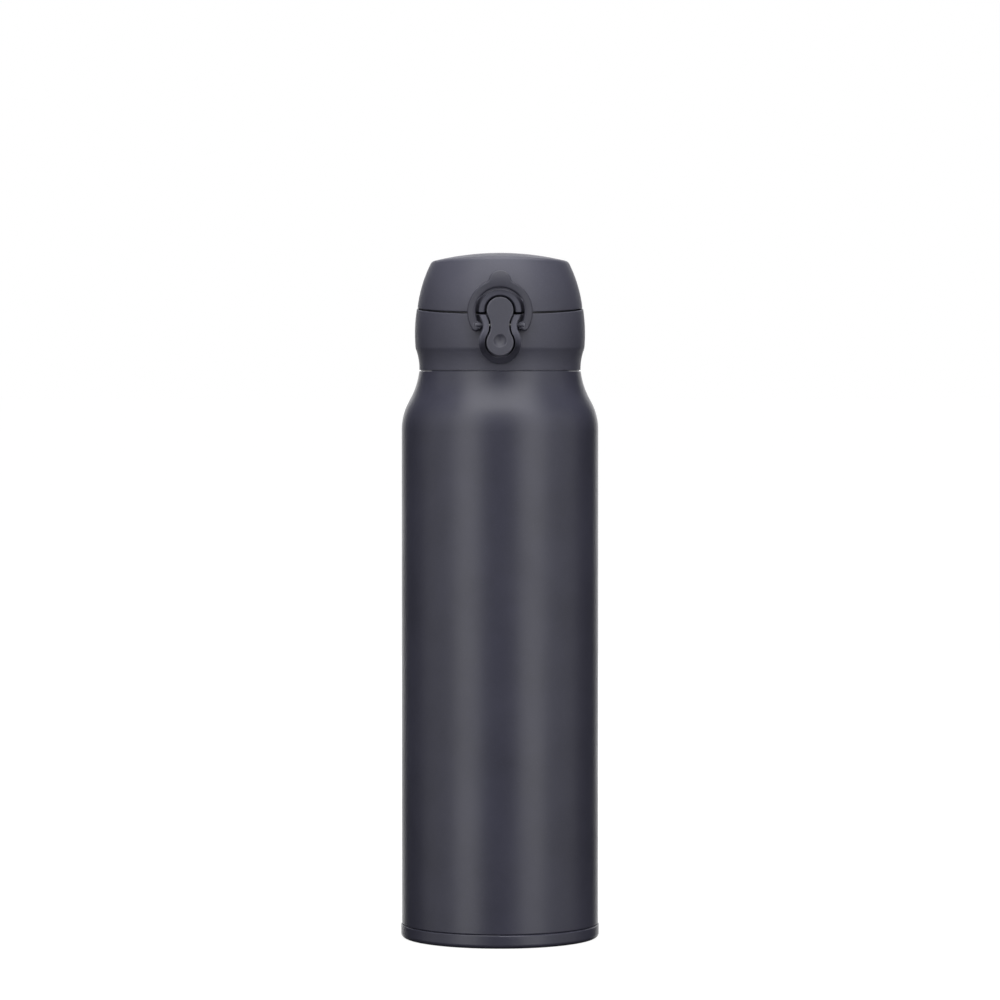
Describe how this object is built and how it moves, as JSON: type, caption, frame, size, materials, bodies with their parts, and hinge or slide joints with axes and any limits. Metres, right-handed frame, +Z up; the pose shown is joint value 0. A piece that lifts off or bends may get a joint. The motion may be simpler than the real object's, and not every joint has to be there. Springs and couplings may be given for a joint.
{
  "type": "vacuum flask",
  "caption": "Slim steel vacuum flask with a flip lid that opens at a push button, a swing-down lock ring and a screw-off drinking cap.",
  "frame": {"origin": "on the bottle's axis, in the plane of the ring it stands on", "axes": "+Z up the bottle to the lid, -Y to the latch and button, +Y to the lid hinge, +X to the right of someone facing the latch"},
  "size_m": [0.0752, 0.0786, 0.26],
  "materials": {
    "painted_body": "satin powder coat",
    "painted_base": "satin powder coat",
    "polished_steel": "electropolished",
    "bright_steel": "bright",
    "spring_steel": "drawn wire",
    "copper": "bright copper foil",
    "getter": "sintered",
    "solder": "dull",
    "disc_film": "plain silver film",
    "silicone": "matte translucent grey",
    "cap_plastic": "fine matte",
    "lid_plastic": "fine matte",
    "latch_plastic": "fine matte",
    "spout_plastic": "satin"
  },
  "bodies": {
    "bottle": {"outer_shell": "painted_body", "inner_vessel": "polished_steel", "copper_foil": "copper", "getter_pellet": "getter", "getter_clip": "bright_steel", "outer_base": "bright_steel", "vacuum_plug": "solder", "base_cap": "painted_base", "base_disc": "disc_film"},
    "mouth_seal": {"mouthpiece_gasket": "silicone"},
    "cap": {"cap_body": "cap_plastic", "mouthpiece": "spout_plastic", "hinge_pin": "bright_steel", "lid_spring": "spring_steel", "button_spring": "spring_steel", "button_pin": "bright_steel"},
    "lid": {"lid_shell": "lid_plastic", "lid_inner": "spout_plastic", "lid_gasket": "silicone"},
    "ring": {"lock_ring": "latch_plastic"},
    "button": {"open_button": "latch_plastic"}
  },
  "joints": [
    {"name": "cap_rise", "type": "slide", "parent": "bottle", "child": "mouth_seal", "axis": [0, 0, 1], "range_m": [0, 0.0081]},
    {"name": "cap_unscrew", "type": "hinge", "parent": "mouth_seal", "child": "cap", "pos_m": [0, 0, 0.222], "axis": [0, 0, 1], "range_deg": [0, 720]},
    {"name": "lid_open", "type": "hinge", "parent": "cap", "child": "lid", "pos_m": [0, 0.0302, 0.2412], "axis": [-1, 0, 0], "range_deg": [0, 118], "deforming": ["lid_spring"]},
    {"name": "ring_unlock", "type": "hinge", "parent": "cap", "child": "ring", "pos_m": [0, -0.0342, 0.2322], "axis": [1, 0, 0], "range_deg": [0, 145]},
    {"name": "button_press", "type": "hinge", "parent": "cap", "child": "button", "pos_m": [0, -0.0342, 0.2322], "axis": [1, 0, 0], "range_deg": [0, 7], "stiffness_Nm_per_rad": 0.15, "springref_deg": -5.73, "deforming": ["button_spring"]}
  ],
  "couplings": [
    {"joint": "cap_rise", "follows": "cap_unscrew", "m_per_rad": 0.00063662}
  ]
}
